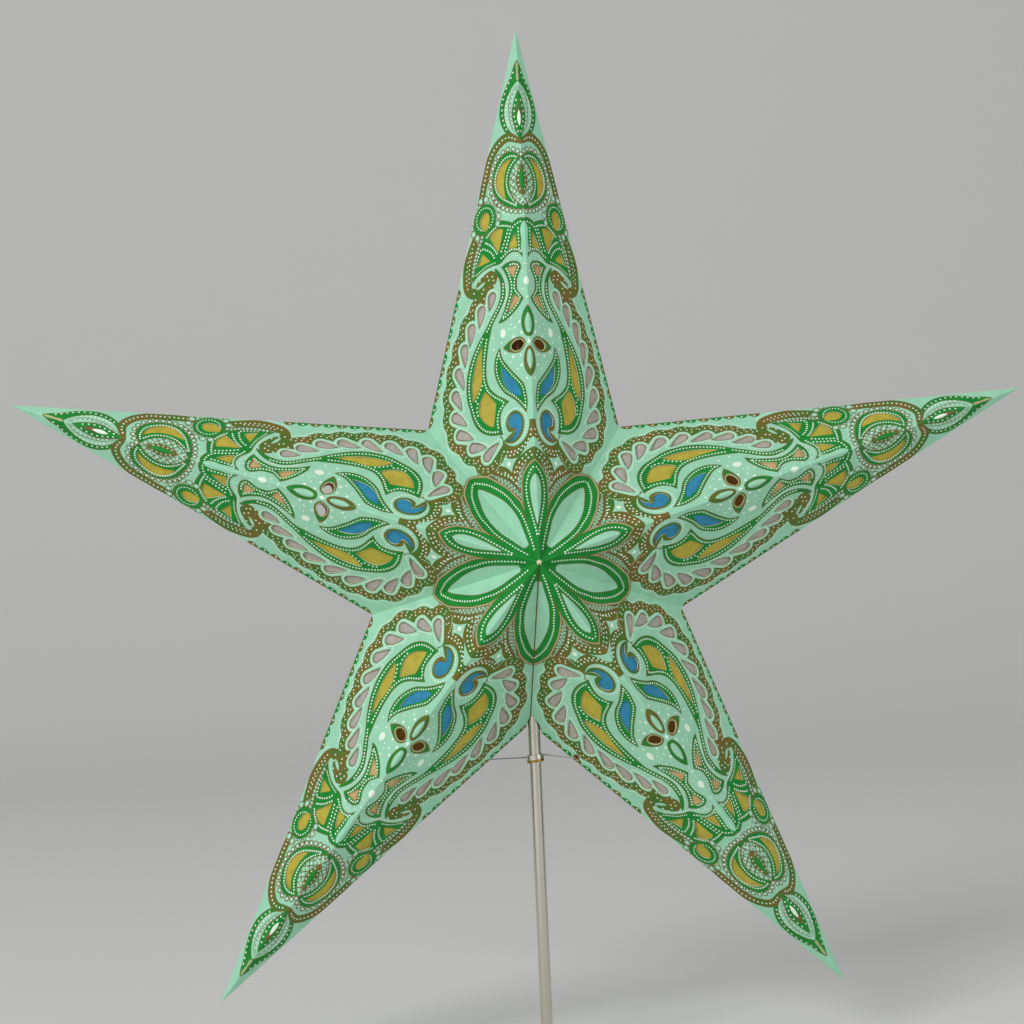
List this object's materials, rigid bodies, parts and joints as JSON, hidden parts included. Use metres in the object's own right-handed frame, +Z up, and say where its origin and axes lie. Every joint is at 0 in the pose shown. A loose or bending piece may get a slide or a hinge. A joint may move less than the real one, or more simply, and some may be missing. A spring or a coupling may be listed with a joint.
{
  "type": "paper star",
  "caption": "Folded five-pointed star of printed card with tissue-backed cut-outs, tied at its open seam on a thin upright steel rod.",
  "frame": {"origin": "centre of the rod's foot, where it goes into a stand", "axes": "+Z up along the rod, -Y out of the star's front, +X to the right seen from the front"},
  "size_m": [0.5706, 0.158, 0.5799],
  "materials": {
    "printed_card": "matte printed card",
    "lilac_tissue": "matte tissue",
    "ochre_tissue": "matte tissue",
    "blue_tissue": "matte tissue",
    "salmon_tissue": "matte tissue",
    "steel": "satin",
    "brass": "polished"
  },
  "bodies": {
    "root": {"top_arm_card": "printed_card", "right_arm_card": "printed_card", "lower_right_arm_card": "printed_card", "lower_left_arm_card": "printed_card", "left_arm_card": "printed_card", "top_arm_lilac_tissue": "lilac_tissue", "top_arm_ochre_tissue": "ochre_tissue", "top_arm_blue_tissue": "blue_tissue", "top_arm_salmon_tissue": "salmon_tissue", "right_arm_lilac_tissue": "lilac_tissue", "right_arm_ochre_tissue": "ochre_tissue", "right_arm_blue_tissue": "blue_tissue", "right_arm_salmon_tissue": "salmon_tissue", "lower_right_arm_lilac_tissue": "lilac_tissue", "lower_right_arm_ochre_tissue": "ochre_tissue", "lower_right_arm_blue_tissue": "blue_tissue", "lower_right_arm_salmon_tissue": "salmon_tissue", "lower_left_arm_lilac_tissue": "lilac_tissue", "lower_left_arm_ochre_tissue": "ochre_tissue", "lower_left_arm_blue_tissue": "blue_tissue", "lower_left_arm_salmon_tissue": "salmon_tissue", "left_arm_lilac_tissue": "lilac_tissue", "left_arm_ochre_tissue": "ochre_tissue", "left_arm_blue_tissue": "blue_tissue", "left_arm_salmon_tissue": "salmon_tissue", "upper_rod": "steel", "lower_rod": "steel", "collar_ring": "steel", "collar_bush": "brass", "tie_wire": "steel", "left_eyelet": "brass", "right_eyelet": "brass"}
  },
  "joints": []
}
